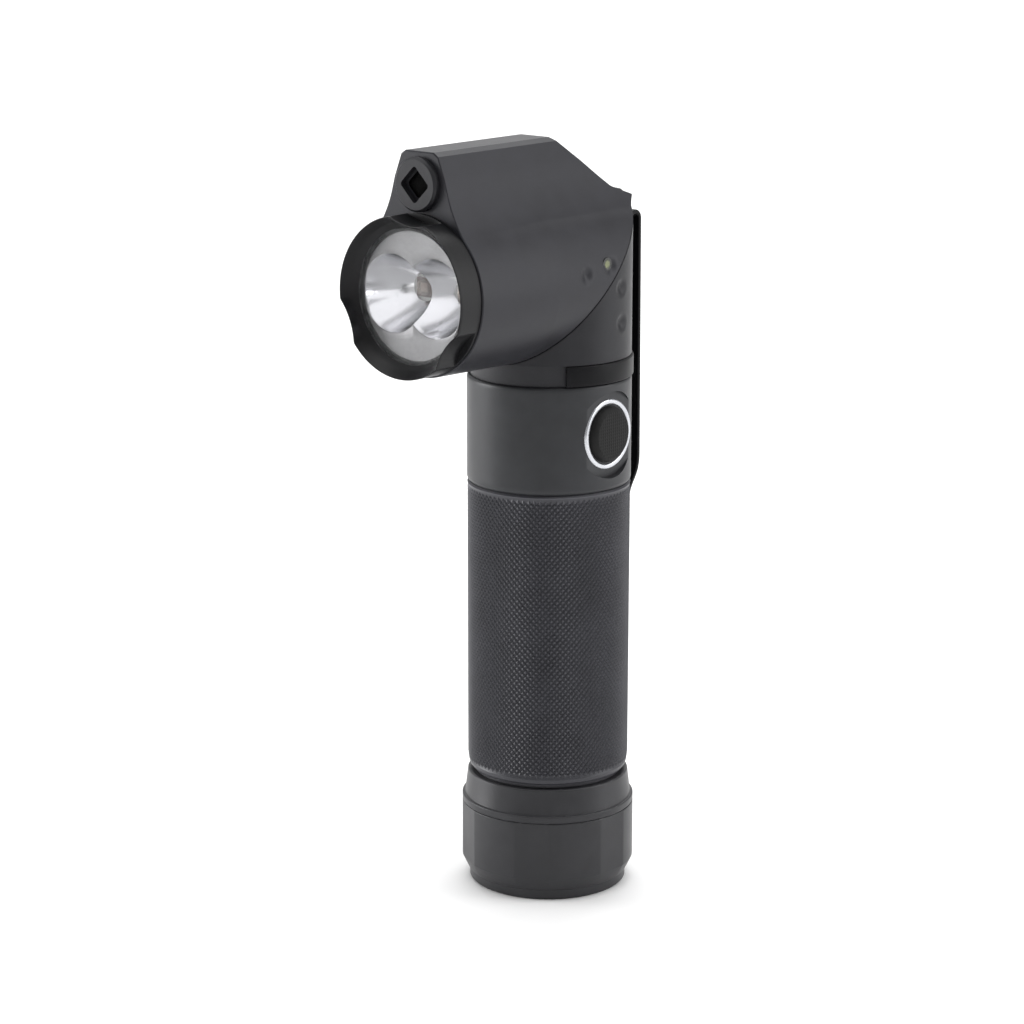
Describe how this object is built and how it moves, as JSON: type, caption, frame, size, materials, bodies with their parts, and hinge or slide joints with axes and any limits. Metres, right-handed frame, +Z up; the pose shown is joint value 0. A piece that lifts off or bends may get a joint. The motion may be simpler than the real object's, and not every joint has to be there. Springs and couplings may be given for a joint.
{
  "type": "tactical flashlight",
  "caption": "Right-angle pocket flashlight with a head that swivels straight, a screw-off tail cap, a side push switch, a knurled grip and a spring pocket clip.",
  "frame": {"origin": "centre of the tail cap's flat end face, on the grip axis", "axes": "+Z up along the grip, -Y the way the head shines at rest, +X the side with the switch"},
  "size_m": [0.0278, 0.051, 0.1215],
  "materials": {
    "anodised_body": "matte dark grey hard anodised aluminium",
    "anodised_head": "matte dark grey hard anodised aluminium",
    "anodised_knurl": "dark grey anodised aluminium with a fine diamond knurl",
    "anodised_black": "satin black anodised aluminium",
    "bare_aluminium": "plain turned aluminium",
    "reflector_silver": "vacuum metallised, orange-peel plate and polished cups",
    "steel_black": "black oxide spring steel",
    "steel_bright": "bright spring steel",
    "ring_bright": "bright plated ring",
    "brass": "plain brass",
    "gold_contact": "gold-plated contact",
    "rubber_black": "black silicone rubber with fine dots",
    "seal_rubber": "black nitrile rubber",
    "clear_glass": "coated clear glass",
    "dark_glass": "dark clear window",
    "clear_silicone": "clear silicone dome",
    "indicator_green": "olive green light pipe",
    "board_green": "solder-masked circuit board",
    "board_white": "white solder mask on a metal core",
    "plastic_black": "black moulded plastic",
    "ferrite": "moulded inductor",
    "emitter": "ceramic package with a yellow-pink phosphor",
    "cell_wrap": null,
    "bronze": "oil-filled bronze",
    "wire_red": "red wire insulation"
  },
  "bodies": {
    "handle": {"battery_tube": "anodised_knurl", "switch_housing": "anodised_body", "swivel_neck": "anodised_body", "tail_oring": "seal_rubber", "neck_oring": "seal_rubber", "front_contact_button": "gold_contact", "contact_board": "board_green", "switch_carrier": "plastic_black", "switch_board": "board_green", "tactile_switch": "plastic_black", "switch_ring": "ring_bright", "driver_retaining_ring": "bare_aluminium", "driver_board": "board_green", "inductor": "ferrite", "driver_chip": "plastic_black", "pivot_bush": "bronze", "swivel_seal": "seal_rubber", "detent_ball": "steel_bright", "detent_spring": "steel_bright", "clip_clasp": "steel_black"},
    "cell": {"battery_cell": "cell_wrap", "battery_positive_cap": "steel_bright"},
    "tail_cap": {"tail_cap_shell": "anodised_body", "tail_spring_plate": "brass", "tail_retainer_ring": "bare_aluminium", "tail_spring": "gold_contact"},
    "switch_button": {"switch_boot": "rubber_black", "switch_actuator": "plastic_black"},
    "clip_leaf": {"clip_arm": "steel_black"},
    "head": {"head_housing": "anodised_head", "bezel_ring": "anodised_black", "front_lens": "clear_glass", "lens_gasket": "seal_rubber", "reflector": "reflector_silver", "led_emitters": "emitter", "led_domes": "clear_silicone", "led_board": "board_white", "heat_spreader": "bare_aluminium", "board_screws": "steel_bright", "laser_bezel": "anodised_body", "laser_window": "dark_glass", "laser_module": "brass", "indicator_lens": "indicator_green", "indicator_led": "emitter", "pivot_tube": "steel_bright", "pivot_washer": "plastic_black", "pivot_nut": "steel_bright", "swivel_wires": "wire_red"}
  },
  "joints": [
    {"name": "head_swivel", "type": "hinge", "parent": "handle", "child": "head", "pos_m": [0, 0, 0.1], "axis": [0, -0.7071, 0.7071], "range_deg": [0, 180]},
    {"name": "switch_press", "type": "slide", "parent": "handle", "child": "switch_button", "axis": [-1, 0, 0], "range_m": [0, 0.0007], "stiffness_N_per_m": 600, "springref_m": -0.0005},
    {"name": "clip_flex", "type": "hinge", "parent": "handle", "child": "clip_leaf", "pos_m": [0, 0.01455, 0.1071], "axis": [1, 0, 0], "range_deg": [0, 4], "stiffness_Nm_per_rad": 8, "springref_deg": -2.86},
    {"name": "cell_travel", "type": "slide", "parent": "handle", "child": "cell", "axis": [0, 0, -1], "range_m": [0, 0.0075]},
    {"name": "tail_cap_turn", "type": "hinge", "parent": "cell", "child": "tail_cap", "pos_m": [0, 0, 0], "axis": [0, 0, -1], "range_deg": [0, 1800]}
  ],
  "couplings": [
    {"joint": "tail_cap_turn", "follows": "cell_travel", "rad_per_m": 4188.8}
  ]
}
